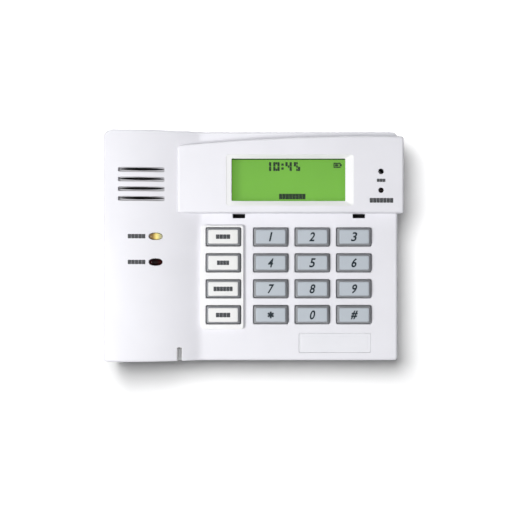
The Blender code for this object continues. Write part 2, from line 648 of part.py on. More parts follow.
def make_lights_and_microphone(pipe_amber, pipe_red, pipe_dark, led_look, mic_look, boot_look):
    board = BOARD_DEPTH[1] + GAP
    top = tower_surface(STATUS_X) + 0.3
    names = (("power", pipe_amber), ("alarm", pipe_red))
    for (name, look), z in zip(names, STATUS_Z):
        pipe = rod(STATUS_X, z, STATUS_W / 2 - GAP, (17.3, top), 20,
                   (STATUS_H / 2 - GAP) / (STATUS_W / 2 - GAP))
        part(round_edges(pipe, 0.5, 2), name + "_light_pipe", look)
        part(box((STATUS_X - 1.6, STATUS_X + 1.6), (z - 1.3, z + 1.3), (board, board + 1.9)),
             name + "_led", led_look)
    message_top = bezel_face(MIC_X) - 0.3
    part(round_edges(rod(MIC_X, MESSAGE_Z, 1.25, (17.3, message_top), 14), 0.3, 1),
         "message_light_pipe", pipe_dark)
    part(box((MIC_X - 1.0, MIC_X + 1.0), (MESSAGE_Z - 0.8, MESSAGE_Z + 0.8), (board, board + 1.9)),
         "message_led", led_look)
    part(round_edges(rod(MIC_X, MIC_Z, 3.0, (board, board + 2.6), 18), 0.3, 1), "microphone", mic_look)
    boot = turned(MIC_X, MIC_Z, ((3.0, 25.4), (3.0, 17.8), (1.4, 17.8), (1.4, 25.4)), 16)
    part(boot, "microphone_boot", boot_look)


# ---------------------------------------------------------------- the whole keypad

def main():
    start_scene()
    white = material("housing_white", (0.82, 0.82, 0.84), 0.45)
    bright = material("trim_white", (0.88, 0.88, 0.88), 0.4)
    backing = material("rear_white", (0.78, 0.78, 0.78), 0.55)
    blue_grey = material("digit_key", (0.53, 0.59, 0.65), 0.5)
    key_white = material("function_key", (0.9, 0.9, 0.88), 0.45)
    rubber = material("keymat_rubber", (0.32, 0.33, 0.35), 0.8)
    clear = material("display_window", (0.9, 0.95, 0.9), 0.05, 0.0, 0.3)
    green = material("lcd_green", (0.2, 0.55, 0.08), 0.2)
    glow = material("backlight", (0.85, 0.9, 0.8), 0.4)
    board = material("circuit_board", (0.03, 0.22, 0.08), 0.5)
    black = material("black_plastic", (0.03, 0.03, 0.03), 0.45)
    steel = material("steel", (0.6, 0.6, 0.6), 0.3, 1.0)
    foam = material("black_foam", (0.02, 0.02, 0.02), 0.95)
    screen = material("black_mesh", (0.02, 0.02, 0.02), 0.5, 0.8)
    paper = material("paper_cone", (0.06, 0.06, 0.06), 0.8)
    amber = material("amber_pipe", (0.8, 0.5, 0.1), 0.2)
    red = material("red_pipe", (0.25, 0.01, 0.01), 0.2)
    smoke = material("dark_pipe", (0.03, 0.01, 0.01), 0.2)
    led = material("led_body", (0.9, 0.9, 0.8), 0.3)
    green_block = material("terminal_green", (0.05, 0.35, 0.15), 0.5)

    make_rear_case(backing)
    make_front_case(white)
    make_display_bezel(white)
    make_function_key_surround(bright)
    make_nameplate(white)
    make_keys(blue_grey, key_white)
    make_keymat(rubber)
    make_display(clear, steel, green, glow, rubber)
    make_main_board(board)
    make_board_parts(black, green_block, steel)
    make_terminal_screws(steel)
    make_tamper_switch(black, bright)
    make_speaker(steel, paper, screen, foam)
    make_lights_and_microphone(amber, red, smoke, led, steel, rubber)
    for i, (x, z) in enumerate(SCREW_XZ):
        back = BOARD_DEPTH[0] - GAP
        make_screw("board_screw_%d" % (i + 1), x, z, (back - 1.5, back), 18.5, steel)


main()
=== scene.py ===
"""Looks for the wall-mounted alarm keypad: fine shells, keys, display, legends, light and camera.

Lengths are in millimetres, and those of the materials, the stage, the lights and the camera in
metres.  A depth is a distance from the wall towards the user, so a point at depth d has y = -d.
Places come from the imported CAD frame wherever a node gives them.
"""
import math

import bmesh
import bpy
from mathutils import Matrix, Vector


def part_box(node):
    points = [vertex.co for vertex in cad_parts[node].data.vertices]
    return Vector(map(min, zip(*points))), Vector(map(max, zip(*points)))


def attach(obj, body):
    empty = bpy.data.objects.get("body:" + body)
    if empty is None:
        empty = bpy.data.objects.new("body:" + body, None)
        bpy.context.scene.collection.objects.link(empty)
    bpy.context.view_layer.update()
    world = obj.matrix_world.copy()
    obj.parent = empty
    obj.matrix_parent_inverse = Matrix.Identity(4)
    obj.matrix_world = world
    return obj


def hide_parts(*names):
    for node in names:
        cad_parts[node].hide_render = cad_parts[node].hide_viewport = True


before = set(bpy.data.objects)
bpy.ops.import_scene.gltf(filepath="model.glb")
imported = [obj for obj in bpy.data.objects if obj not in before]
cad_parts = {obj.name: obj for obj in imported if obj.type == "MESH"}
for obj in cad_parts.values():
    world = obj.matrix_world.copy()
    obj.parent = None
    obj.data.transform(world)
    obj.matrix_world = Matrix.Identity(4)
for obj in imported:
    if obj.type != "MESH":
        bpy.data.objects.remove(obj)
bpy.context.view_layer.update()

MM = 0.001
ROOT = "housing"

# Sizes that the frame's boxes don't give
PANEL = 22.0                       # depth of the flat face round the keys
TOWER, CREST_X, VALLEY_X = 31.0, -71.0, -29.2        # speaker tower: depth, crest and right foot
TOWER_RADIUS = ((VALLEY_X - CREST_X) ** 2 + (TOWER - PANEL) ** 2) / (2 * (TOWER - PANEL))
VALLEY_SOFTNESS = 0.6
SEAM, REAR_SEAM = 12.3, 12.0       # where the walls of the front and the rear case end
WALL, FACE_SKIN = 2.4, 1.2         # thickness of the walls, and in front of a screw post
REBATE, REBATE_DEPTH = 0.9, (3.0, 14.6)              # room for the rear case's rim
EDGE = 1.3                         # fillet round the front case
CORNER_RADII = (4.6, 3.0, 1.8, 1.8)
BEHIND_FACE = (16.0, 26.0)         # depths between which a cutter goes through the panel
POST_RADIUS, BOARD_POST, STRAP_POST = 2.8, 14.9, 11.7
SPEAKER_WALL, SPEAKER_GAP, SPEAKER_RING = (20.0, 26.0), 0.4, 1.3
OPENING, OPENING_CORNER = (19.0, 10.2), 0.8
KEY_FACE, KEY_FLANGE = (15.6, 7.2), (20.8, 12.0)
LENS_GAP, LENS_POWER = 0.25, 2.3
LIT_X, LIT_Z = (-12.6, 48.9), (23.8, 47.9)           # lit area of the display
VIEW_X, VIEW_Z = (-12.1, 48.4), (23.8, 46.4)         # opening in front of it
LEDGE_X, LEDGE_Z = (2.9, 4.3), (2.6, 2.0)            # width of the slope round the opening
BEZEL_MIDDLE_DEPTH, BEZEL_FACE_RADIUS = 28.8, 1300.0
BEZEL_TOP_RADIUS, BEZEL_APEX = 1187.0, (67.2, 58.3)
GRILLE_X, GRILLE_Z = (-71.6, -47.6), (40.6, 35.5, 30.4, 25.3)
GRILLE_FLOOR = 1.7                 # how far the louvres' floor lies behind the tower's face
KEYHOLES = ((-45.0, 36.0), (45.0, 36.0))
LOWER_SLOTS = ((-45.0, -40.0), (45.0, -40.0))
WIRE_ENTRY = ((10.0, 40.0), (-8.0, 14.0))
LABEL_RECESS = ((-30.0, 30.0), (-34.0, -16.0))
HINGE_X, HINGE_TOP, HINGE_FLOOR = (-41.1, -38.7), -54.1, 18.4
LATCH_X, LATCH_Z = ((-11.8, -5.1), (52.7, 59.4)), (15.0, 17.3)
NAMEPLATE = ((23.8, 62.4), (-57.3, -46.8))
NAMEPLATE_DEPTH = 1.0
DIGITS = ("1", "2", "3", "4", "5", "6", "7", "8", "9", "star", "0", "hash")
FUNCTION_KEYS = ["function_key_%d" % (i + 1) for i in range(4)]
PRINT = (0.01, 0.05)               # a printed mark's back and front above its face
LABEL_HEIGHT = 2.3                 # printed words beside the status lights
CLOCK, CLOCK_HEIGHT = (15.0, 42.8), 4.8
STATUS_BAR = (20.3, 26.7, 14.3, 3.0)                 # centre, width and height
BATTERY = (VIEW_X[1] - 3.7, VIEW_Z[1] - 2.9)


def node_box(node):
    """A CAD node's box in millimetres: (x, depth, z) ranges."""
    lo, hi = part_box(node)
    return ((lo.x / MM, hi.x / MM), (-hi.y / MM, -lo.y / MM), (lo.z / MM, hi.z / MM))


def middle(node):
    x, depth, z = node_box(node)
    return sum(x) / 2, sum(depth) / 2, sum(z) / 2


def half_sizes(node):
    """Half the width and half the height of a CAD node's box."""
    x, _, z = node_box(node)
    return (x[1] - x[0]) / 2, (z[1] - z[0]) / 2


def centres(names):
    return [(middle(name)[0], middle(name)[2]) for name in names]


def widened(low_high, by):
    return low_high[0] - by, low_high[1] + by


def place(x, depth, z):
    return Vector((x * MM, -depth * MM, z * MM))


(LEFT, RIGHT), CASE_DEPTH, (BOTTOM, TOP) = node_box("rear_case")
BEZEL_X, _, BEZEL_Z = node_box("display_bezel")


# ======== materials

class Look:
    """A Principled material under construction, with short names for its node links.

    Noise scales are in cells per metre, and bump distances are in metres.
    """

    def __init__(self, name, color, roughness, metallic=0.0):
        self.material = bpy.data.materials.new(name)
        self.material.use_nodes = True
        self.tree = self.material.node_tree
        self.shader = self.tree.nodes["Principled BSDF"]
        self.coords = self.tree.nodes.new("ShaderNodeTexCoord")
        self.set("Base Color", (*color, 1.0))
        self.set("Roughness", roughness)
        self.set("Metallic", metallic)
        self.material.diffuse_color = (*color, 1.0)

    def set(self, socket, value):
        self.shader.inputs[socket].default_value = value

    def node(self, kind, **settings):
        made = self.tree.nodes.new(kind)
        for key, value in settings.items():
            setattr(made, key, value)
        return made

    def link(self, source, target):
        self.tree.links.new(source, target)

    def located(self, kind, **settings):
        """A node that is given the object's own coordinates."""
        made = self.node(kind, **settings)
        self.link(self.coords.outputs["Object"], made.inputs["Vector"])
        return made

    def noise(self, scale, detail=3.0, roughness=0.5, vector=None):
        made = self.located("ShaderNodeTexNoise")
        made.inputs["Scale"].default_value = scale
        made.inputs["Detail"].default_value = detail
        made.inputs["Roughness"].default_value = roughness
        if vector is not None:
            self.link(vector, made.inputs["Vector"])
        return made.outputs["Fac"]

    def remap(self, value, low, high, start=0.0, end=1.0):
        """A value between start and end, moved to between low and high."""
        made = self.node("ShaderNodeMapRange")
        self.link(value, made.inputs["Value"])
        for socket, limit in (("From Min", start), ("From Max", end), ("To Min", low), ("To Max", high)):
            made.inputs[socket].default_value = limit
        return made.outputs["Result"]

    def mix(self, factor, first, second):
        made = self.node("ShaderNodeMix", data_type="RGBA")
        if isinstance(factor, float):
            made.inputs["Factor"].default_value = factor
        else:
            self.link(factor, made.inputs["Factor"])
        for socket, value in (("A", first), ("B", second)):
            target = [i for i in made.inputs if i.name == socket and i.type == "RGBA"][0]
            if isinstance(value, tuple):
                target.default_value = (*value, 1.0)
            else:
                self.link(value, target)
        return [o for o in made.outputs if o.type == "RGBA"][0]

    def between(self, value, start, end, first, second):
        """A colour that goes from the first to the second as a value goes from start to end."""
        return self.mix(self.remap(value, 0.0, 1.0, start, end), first, second)

    def color(self, value):
        self.link(value, self.shader.inputs["Base Color"])

    def rough(self, value):
        self.link(value, self.shader.inputs["Roughness"])

    def bump(self, height, strength, distance, under=None):
        made = self.node("ShaderNodeBump")
        made.inputs["Strength"].default_value = strength
        made.inputs["Distance"].default_value = distance
        self.link(height, made.inputs["Height"])
        if under is not None:
            self.link(under, made.inputs["Normal"])
        self.link(made.outputs["Normal"], self.shader.inputs["Normal"])
        return made.outputs["Normal"]


def tint(color, factor):
    return tuple(min(1.0, channel * factor) for channel in color)


def plastic(name, color, roughness=0.45, grain=0.35, grain_scale=2600.0, mottle=0.02):
    """Moulded plastic: spark-eroded grain, faint flow mottling and handling marks in the gloss."""
    look = Look(name, color, roughness)
    look.color(look.between(look.noise(45.0, 4.0), 0.3, 0.7, tint(color, 1.0 - mottle),
                            tint(color, 1.0 + mottle)))
    wear = look.noise(140.0, 5.0, 0.65)
    look.rough(look.remap(wear, roughness - 0.02, roughness + 0.04, 0.3, 0.7))
    fine = look.noise(grain_scale, 2.0, 0.6)
    under = look.bump(look.noise(220.0, 2.0), 0.03, 0.00004)
    look.bump(fine, grain, 0.000035, under)
    return look


def metal(name, color, roughness):
    """Brushed metal, with its grain drawn out sideways."""
    look = Look(name, color, roughness, 1.0)
    stretch = look.located("ShaderNodeMapping")
    stretch.inputs["Scale"].default_value = (60.0, 2400.0, 2400.0)
    grain = look.noise(1.0, 4.0, vector=stretch.outputs["Vector"])
    look.rough(look.remap(grain, roughness - 0.08, roughness + 0.12, 0.3, 0.7))
    look.color(look.between(look.noise(300.0), 0.35, 0.65, tint(color, 0.88), color))
    look.bump(grain, 0.15, 0.00004)
    return look


def rubber(name, color, roughness=0.75):
    """Matt rubber, foam or coated paper."""
    look = Look(name, color, roughness)
    look.color(look.between(look.noise(90.0, 4.0), 0.35, 0.65, tint(color, 0.85), tint(color, 1.1)))
    look.rough(look.remap(look.noise(400.0, 3.0), roughness - 0.1, roughness + 0.08, 0.3, 0.7))
    look.bump(look.noise(3200.0, 2.0), 0.4, 0.00003)
    return look


def circuit_board(name):
    """Solder mask with copper tracks and pads."""
    mask, track, pad = (0.012, 0.13, 0.045), (0.03, 0.24, 0.08), (0.62, 0.56, 0.36)
    look = Look(name, mask, 0.32)
    lines = look.node("ShaderNodeTexBrick")
    lines.inputs["Scale"].default_value = 170.0
    lines.inputs["Mortar Size"].default_value = 0.09
    lines.inputs["Mortar Smooth"].default_value = 0.1
    lines.offset, lines.squash = 0.37, 1.7
    turn = look.located("ShaderNodeMapping")
    turn.inputs["Rotation"].default_value = (math.radians(90), 0.0, 0.0)
    look.link(turn.outputs["Vector"], lines.inputs["Vector"])
    holes = look.located("ShaderNodeTexVoronoi")
    holes.inputs["Scale"].default_value = 260.0
    dots = look.remap(holes.outputs["Distance"], 1.0, 0.0, 0.10, 0.14)
    base = look.mix(lines.outputs["Fac"], mask, track)
    look.color(look.mix(dots, base, pad))
    look.rough(look.remap(dots, 0.32, 0.22))
    look.bump(lines.outputs["Fac"], 0.3, 0.00003)
    return look


def mesh_screen(name):
    """Fine black wire mesh, as two crossed waves of a 0.5 mm pitch."""
    look = Look(name, (0.012, 0.012, 0.013), 0.6, 0.4)
    axes = look.located("ShaderNodeSeparateXYZ")
    waves = []
    for axis in ("X", "Z"):
        scaled = look.node("ShaderNodeMath", operation="MULTIPLY")
        look.link(axes.outputs[axis], scaled.inputs[0])
        scaled.inputs[1].default_value = 2 * math.pi / (0.5 * MM)
        wave = look.node("ShaderNodeMath", operation="SINE")
        look.link(scaled.outputs[0], wave.inputs[0])
        waves.append(wave.outputs[0])
    crossed = look.node("ShaderNodeMath", operation="MULTIPLY")
    look.link(waves[0], crossed.inputs[0])
    look.link(waves[1], crossed.inputs[1])
    look.color(look.between(crossed.outputs[0], -1.0, 1.0, (0.004, 0.004, 0.004), (0.03, 0.03, 0.032)))
    look.bump(crossed.outputs[0], 0.8, 0.00008)
    return look


def display_glass(name):
    """The lit display: most of its green shines from behind, through a polariser's faint grain."""
    green, shine = (0.178, 0.490, 0.045), 0.62
    look = Look(name, green, 0.25)
    lit = look.between(look.noise(30.0, 2.0), 0.3, 0.7, tint(green, 0.94), tint(green, 1.04))
    look.color(look.mix(shine, lit, (0.0, 0.0, 0.0)))
    look.link(lit, look.shader.inputs["Emission Color"])
    look.set("Emission Strength", shine)
    look.set("Specular IOR Level", 0.12)
    look.rough(look.remap(look.noise(700.0, 2.0), 0.35, 0.5))
    look.bump(look.noise(5000.0, 1.0), 0.1, 0.00001)
    return look


def ink(name, color):
    """Printed ink, a little uneven in its cover."""
    look = Look(name, color, 0.5)
    look.color(look.between(look.noise(1500.0, 2.0), 0.35, 0.65, tint(color, 0.8), tint(color, 1.25)))
    look.rough(look.remap(look.noise(2200.0), 0.42, 0.6))
    look.set("Specular IOR Level", 0.12)
    return look


def lamp_lens(name, shades, left, right, glow):
    """A moulded lens whose colour runs through the shades from its left to its right end, glowing by the
    given strength; a glow above zero is painted light from the lamp behind the lens.
    """
    look = Look(name, shades[0], 0.18)
    axes = look.located("ShaderNodeSeparateXYZ")
    ramp = look.node("ShaderNodeValToRGB")
    look.link(look.remap(axes.outputs["X"], 0.0, 1.0, left * MM, right * MM), ramp.inputs["Fac"])
    stops = ramp.color_ramp.elements
    stops[0].color, stops[-1].color = (*shades[0], 1.0), (*shades[-1], 1.0)
    for i, shade in enumerate(shades[1:-1]):
        stops.new((i + 1) / (len(shades) - 1)).color = (*shade, 1.0)
    look.color(ramp.outputs["Color"])
    look.link(ramp.outputs["Color"], look.shader.inputs["Emission Color"])
    look.set("Emission Strength", glow)
    look.set("Specular IOR Level", 0.12)
    look.rough(look.remap(look.noise(900.0), 0.12, 0.25))
    look.bump(look.noise(600.0, 2.0), 0.05, 0.00002)
    return look


def clear_window(name):
    """Thin clear acrylic."""
    look = Look(name, (0.60, 0.78, 0.56), 0.06)
    look.set("Alpha", 0.025)
    look.set("IOR", 1.49)
    look.rough(look.remap(look.noise(500.0, 3.0), 0.03, 0.10))
    look.bump(look.noise(120.0, 2.0), 0.02, 0.00002)
    return look


# The amber shades paint the lit lens's light and shade on its amber tint: a shaded brown left end, a
# bright yellow spot where the lamp behind it shines, and a paler right end.
AMBER_LIT_AND_SHADED = ((0.30, 0.21, 0.12), (0.22, 0.14, 0.06), (0.26, 0.16, 0.05), (0.58, 0.43, 0.13),
         (0.90, 0.73, 0.25), (0.74, 0.64, 0.24), (0.56, 0.52, 0.26), (0.58, 0.55, 0.34))
RED = ((0.030, 0.002, 0.002), (0.004, 0.001, 0.001), (0.012, 0.001, 0.001), (0.045, 0.003, 0.002))
SMOKED = ((0.004, 0.002, 0.002), (0.009, 0.004, 0.004))
LOOKS = {
    "housing": plastic("housing_white", (0.83, 0.825, 0.865)),
    # A grey copy of the housing white, painted into the louvre recesses as their shade.
    "recess": plastic("recess_painted_shade_grey", (0.54, 0.535, 0.555)),
    "rear_housing": plastic("rear_white", (0.76, 0.76, 0.77), 0.55, 0.6, 1800.0, 0.03),
    # The trim white is the function surround's own finish.  On the hinge notch and the slope round the
    # display opening it is a lighter copy of the housing white that paints light into their shade.
    "trim": plastic("trim_white", (0.90, 0.90, 0.90), 0.38),
    "digit_keys": plastic("digit_key_top", (0.475, 0.52, 0.565), 0.42, 0.25),
    "function_keys": plastic("function_key_top", (0.82, 0.82, 0.805), 0.40, 0.25),
    "key_side": plastic("key_side_grey", (0.30, 0.31, 0.325), 0.6, 0.25),
    "silicone": rubber("silicone_grey", (0.20, 0.21, 0.22)),
    "foam": rubber("foam_black", (0.012, 0.012, 0.013), 0.95),
    "screen": mesh_screen("wire_mesh_black"),
    "window": clear_window("display_window"),
    "lcd": display_glass("display_green"),
    "light_guide": plastic("milky_acrylic", (0.80, 0.88, 0.76), 0.3, 0.1),
    "black_plastic": plastic("black_plastic", (0.018, 0.018, 0.020), 0.45),
    "circuit_board": circuit_board("solder_mask"),
    "terminal_plastic": plastic("terminal_green", (0.025, 0.22, 0.09), 0.5),
    "steel": metal("zinc_plated_steel", (0.55, 0.56, 0.58), 0.34),
    "cone": rubber("coated_paper", (0.03, 0.03, 0.032), 0.85),
    # The amber lens's glow is painted light of the lamp behind it.
    "amber_lens": lamp_lens("amber_lens", AMBER_LIT_AND_SHADED, *node_box("power_light_pipe")[0], 0.13),
    "red_lens": lamp_lens("red_lens", RED, *node_box("alarm_light_pipe")[0], 0.0),
    "message_lens": lamp_lens("smoked_lens", SMOKED, *node_box("message_light_pipe")[0], 0.0),
    "led": plastic("led_resin", (0.85, 0.84, 0.70), 0.25, 0.1),
    "legend": ink("legend_grey", (0.075, 0.080, 0.085)),
    "label": ink("label_grey", (0.085, 0.088, 0.092)),
    "digit_ink": ink("digit_ink", (0.022, 0.032, 0.040)),
    # The segment ink also draws the painted shadow along the display's top and left edges.
    "segment": ink("segment_ink_and_painted_shadow", (0.003, 0.016, 0.003)),
    # Matt near-black that paints the shade inside the latch slots.
    "dark": rubber("deep_black_painted_shade", (0.002, 0.002, 0.002), 0.95),
    "plate": plastic("nameplate_white", (0.82, 0.82, 0.855), 0.35, 0.2),
    "paper": plastic("label_paper", (0.80, 0.80, 0.78), 0.7, 0.3, 4000.0, 0.015),
}


# ======== mesh tools

def in_scene(name, data):
    """A new object in the scene that holds a mesh, curve, light or camera."""
    thing = bpy.data.objects.new(name, data)
    bpy.context.scene.collection.objects.link(thing)
    return thing


def new_object(name, shape, *looks):
    """An object made from a bmesh, which it uses up."""
    mesh = bpy.data.meshes.new(name)
    shape.to_mesh(mesh)
    shape.free()
    for look in looks:
        mesh.materials.append(LOOKS[look].material)
    return in_scene(name, mesh)


def drop(distance, radius):
    """How far a round corner of that radius falls away at a distance from the side."""
    if distance >= radius:
        return 0.0
    return radius - math.sqrt(max(radius ** 2 - (radius - distance) ** 2, 0.0))


def number(value, x):
    """A value that may be a function of x."""
    return value(x) if callable(value) else value


def shifted(face, by):
    """The depth of a face moved towards the user, as a function of x."""
    return lambda x: number(face, x) + by


def span(x, z, radii, inset=0.0, count=1, per_corner=6):
    """A rounded outline as (x, top, bottom) stations from left to right.

    x and z are (low, high) ranges, and a z may be a function of x.  The radii are those of the
    top left, top right, bottom right and bottom left corners.
    """
    left, right = x[0] + inset, x[1] - inset
    tl, tr, br, bl = [max(radius - inset, 0.2) for radius in radii]
    wide_left, wide_right = max(tl, bl), max(tr, br)
    angles = [math.pi / 2 * i / per_corner for i in range(per_corner + 1)]
    xs = [left + wide_left * (1 - math.cos(angle)) for angle in angles]
    inner_left, inner_right = xs[-1], right - wide_right
    xs += [inner_left + (inner_right - inner_left) * i / count for i in range(1, count)]
    xs += [right - wide_right * (1 - math.cos(angle)) for angle in reversed(angles)]
    stations = []
    for here in xs:
        upper = number(z[1], here) - inset - max(drop(here - left, tl), drop(right - here, tr))
        lower = number(z[0], here) + inset + max(drop(here - left, bl), drop(right - here, br))
        stations.append((here, upper, lower))
    return stations


def oval(x, z, radius_x, radius_z, power=2.0, sides=20):
    """An ellipse, or with a higher power a lens with blunter ends, as stations."""
    stations = []
    for i in range(sides + 1):
        u = -math.cos(math.pi * i / sides)
        half = radius_z * max(1 - abs(u) ** power, 0.0) ** (1 / power)
        stations.append((x + radius_x * u, z + half, z - half))
    return stations


def ring(stations, depth):
    """The points round an outline, at a depth that may be a function of x."""
    points = [(x, number(depth, x), top) for x, top, bottom in stations]
    return points + [(x, number(depth, x), bottom) for x, top, bottom in reversed(stations)]


def strips(shape, verts):
    """Closes a ring with strips from its upper to its lower side."""
    last = len(verts) - 1
    for i in range(len(verts) // 2 - 1):
        shape.faces.new((verts[i], verts[i + 1], verts[last - i - 1], verts[last - i]))


def solid(rings, band_slots=None):
    """A closed bmesh through rings of the same number of points.  band_slots gives the material
    slot of each band between two rings."""
    shape = bmesh.new()
    made = [[shape.verts.new(place(*point)) for point in points] for points in rings]
    for level, (low, high) in enumerate(zip(made, made[1:])):
        for i in range(len(low)):
            j = (i + 1) % len(low)
            face = shape.faces.new((low[i], low[j], high[j], high[i]))
            face.material_index = band_slots[level] if band_slots else 0
    for verts in (made[0], made[-1]):
        strips(shape, verts)
    bmesh.ops.remove_doubles(shape, verts=shape.verts, dist=1e-8)
    return outward(shape)


def painted(shape, slot):
    """Gives all faces one material slot, which the cut they make then has."""
    for face in shape.faces:
        face.material_index = slot
    return shape


def outward(shape):
    """Turns every face of a closed shape outwards."""
    bmesh.ops.recalc_face_normals(shape, faces=shape.faces)
    if shape.calc_volume(signed=True) < 0.0:
        bmesh.ops.reverse_faces(shape, faces=shape.faces)
    return shape


def round_levels(edge, steps=6):
    """(inset, drop) pairs that run round a quarter circle, from the side to the face."""
    angles = [math.pi / 2 * i / steps for i in range(steps + 1)]
    return [(edge * (1 - math.cos(angle)), edge * (1 - math.sin(angle))) for angle in angles]


def skin(outline, face, edge, base, toward=1):
    """A solid with its face edge rounded.  outline(inset) gives the stations, face the depth of
    the face, and toward is 1 where the face looks at the user and -1 where it looks at the wall."""
    rings = [ring(outline(0.0), base)]
    rings += [ring(outline(inset), shifted(face, -toward * fall)) for inset, fall in round_levels(edge)]
    return solid(rings)


def mouth(outline, face, bottom, flare=0.35, toward=1, taper=0.0):
    """A cutter for a hole whose rim is rounded off at the face.  outline(grow) gives the stations,
    and taper is how much narrower the bottom is."""
    rings = [ring(outline(-taper), bottom)]
    rings += [ring(outline(grow), shifted(face, -toward * fall))
              for grow, fall in round_levels(flare, 4)[:-1]]
    rings += [ring(outline(flare), shifted(face, toward * above)) for above in (0.02, 3.0)]
    return solid(rings)


def block(x, z, depth, corner=0.25):
    """A bar between two depths with rounded upright edges."""
    return solid([ring(span(x, z, (corner,) * 4, per_corner=3), d) for d in depth])


def rod(x, z, radius, depth):
    return solid([ring(oval(x, z, radius, radius), d) for d in depth])


def turned(x, z, profile, steps=72):
    """A closed profile of (radius, depth) points, turned about an axis that points at the user."""
    shape = bmesh.new()
    angles = [2 * math.pi * i / steps for i in range(steps)]
    rings = [[shape.verts.new(place(x + radius * math.cos(angle), depth, z + radius * math.sin(angle)))
              for angle in angles] for radius, depth in profile]
    for low, high in zip(rings, rings[1:] + rings[:1]):
        for i in range(steps):
            j = (i + 1) % steps
            shape.faces.new((low[i], low[j], high[j], high[i]))
    return outward(shape)


def merged(shapes):
    """Several bmesh shapes as one."""
    whole = bmesh.new()
    for shape in shapes:
        mesh = bpy.data.meshes.new("tool")
        shape.to_mesh(mesh)
        shape.free()
        whole.from_mesh(mesh)
        bpy.data.meshes.remove(mesh)
    return whole


def evaluated_mesh(thing):
    bpy.context.view_layer.update()
    return bpy.data.meshes.new_from_object(thing.evaluated_get(bpy.context.evaluated_depsgraph_get()))


def apply_modifiers(thing):
    result = evaluated_mesh(thing)
    thing.modifiers.clear()
    old, thing.data = thing.data, result
    bpy.data.meshes.remove(old)


def boolean(thing, shapes, operation):
    """One Boolean with several shapes that don't touch each other."""
    tool = new_object("tool", merged(shapes))
    step = thing.modifiers.new("step", "BOOLEAN")
    step.operation, step.solver, step.object = operation, "EXACT", tool
    apply_modifiers(thing)
    bpy.data.objects.remove(tool, do_unlink=True)
    return thing


def cut(thing, *shapes):
    return boolean(thing, shapes, "DIFFERENCE")


def join(thing, *shapes):
    return boolean(thing, shapes, "UNION")


def finished(thing, body, slot, *nodes, sharp=32.0):
    """Smooths a piece, keeps its flat faces flat, and fits it to the frame."""
    thing.data.name = thing.name
    thing.data.shade_smooth()
    thing.data.set_sharp_from_angle(angle=math.radians(sharp))
    weighted = thing.modifiers.new("weighted", "WEIGHTED_NORMAL")
    weighted.keep_sharp = True
    weighted.weight = 80
    apply_modifiers(thing)
    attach(thing, body)
    if nodes:
        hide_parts(*nodes)
    return thing


def piece(name, shape, look, body, slot, *nodes):
    return finished(new_object(name, shape, look), body, slot, *nodes)


# ======== housing

# The louvre recesses' cut faces take a grey that paints their shade.
RECESS_PAINTED_SHADE_SLOT, NOTCH_PAINTED_LIGHT_SLOT = 1, 2     # material slots of the cut faces on the front case
VIEW_PAINTED_LIGHT_SLOT = 1                      # and on the display surround


def tower(x):
    """Depth of the speaker tower's arc."""
    reach = max(TOWER_RADIUS ** 2 - (x - CREST_X) ** 2, 0.0)
    return TOWER - TOWER_RADIUS + math.sqrt(reach)


def body_face(x):
    """Depth of the front case's face, with a soft valley between the tower and the panel."""
    here = tower(x)
    blend = max(VALLEY_SOFTNESS - abs(here - PANEL), 0.0) / VALLEY_SOFTNESS
    return max(here, PANEL) + blend * blend * VALLEY_SOFTNESS / 4


def bezel_face(x):
    middle_x = sum(BEZEL_X) / 2
    return BEZEL_MIDDLE_DEPTH - (x - middle_x) ** 2 / (2 * BEZEL_FACE_RADIUS)


def bezel_top(x):
    return BEZEL_APEX[1] - (x - BEZEL_APEX[0]) ** 2 / (2 * BEZEL_TOP_RADIUS)


def body_outline(inset, count=90):
    return span((LEFT, RIGHT), (BOTTOM, TOP), CORNER_RADII, inset, count)


def hole(x, z, corner):
    """An outline function for a rounded rectangular hole."""
    return lambda grow: span(x, z, (corner,) * 4, -grow)


def around(x, z, width, height):
    return (x - width / 2, x + width / 2), (z - height / 2, z + height / 2)


def front_case_cavity():
    """The hollow of the front case, with its upper edge chamfered."""
    chamfer = 0.8
    return solid([ring(body_outline(WALL), 4.0),
                  ring(body_outline(WALL), shifted(body_face, -WALL - chamfer)),
                  ring(body_outline(WALL + chamfer), shifted(body_face, -WALL))])


def grille_slot(z, grow, height, power):
    middle_x, half = sum(GRILLE_X) / 2, (GRILLE_X[1] - GRILLE_X[0]) / 2
    return oval(middle_x, z, half + grow, height / 2 + grow, power, 36)


def grille_lip(z):
    """A recess whose floor follows the tower, with the slot in its upper half.  Its faces take the grey
    that paints the recess's shade.
    """
    recess = mouth(lambda grow: grille_slot(z - 0.4, grow, 2.3, 9.0), body_face,
                   shifted(body_face, -GRILLE_FLOOR), 0.2, taper=0.1)
    return painted(recess, RECESS_PAINTED_SHADE_SLOT)


def speaker_wall():
    """The ring that holds the speaker's cloth."""
    x, _, z = middle("speaker_screen")
    inner = half_sizes("speaker_screen")[0] + SPEAKER_GAP
    outer = inner + SPEAKER_RING
    low, high = SPEAKER_WALL
    return turned(x, z, ((inner, low), (inner, high), (outer, high), (outer, low)))


def screw_posts():
    posts = []
    for screw, count, start in (("board_screw_%d", 4, BOARD_POST), ("speaker_screw_%d", 2, STRAP_POST)):
        for x, z in centres([screw % (i + 1) for i in range(count)]):
            posts.append(rod(x, z, POST_RADIUS, (start, body_face(x) - FACE_SKIN)))
    return posts


def light_pipe_hole(name):
    x, _, z = middle(name)
    half_x, half_z = [half + LENS_GAP for half in half_sizes(name)]
    return mouth(lambda grow: oval(x, z, half_x + grow, half_z + grow, LENS_POWER), body_face, 15.0)


def key_hole(x, z, face, bottom, flare):
    return mouth(hole(*around(x, z, *OPENING), OPENING_CORNER), face, bottom, flare)


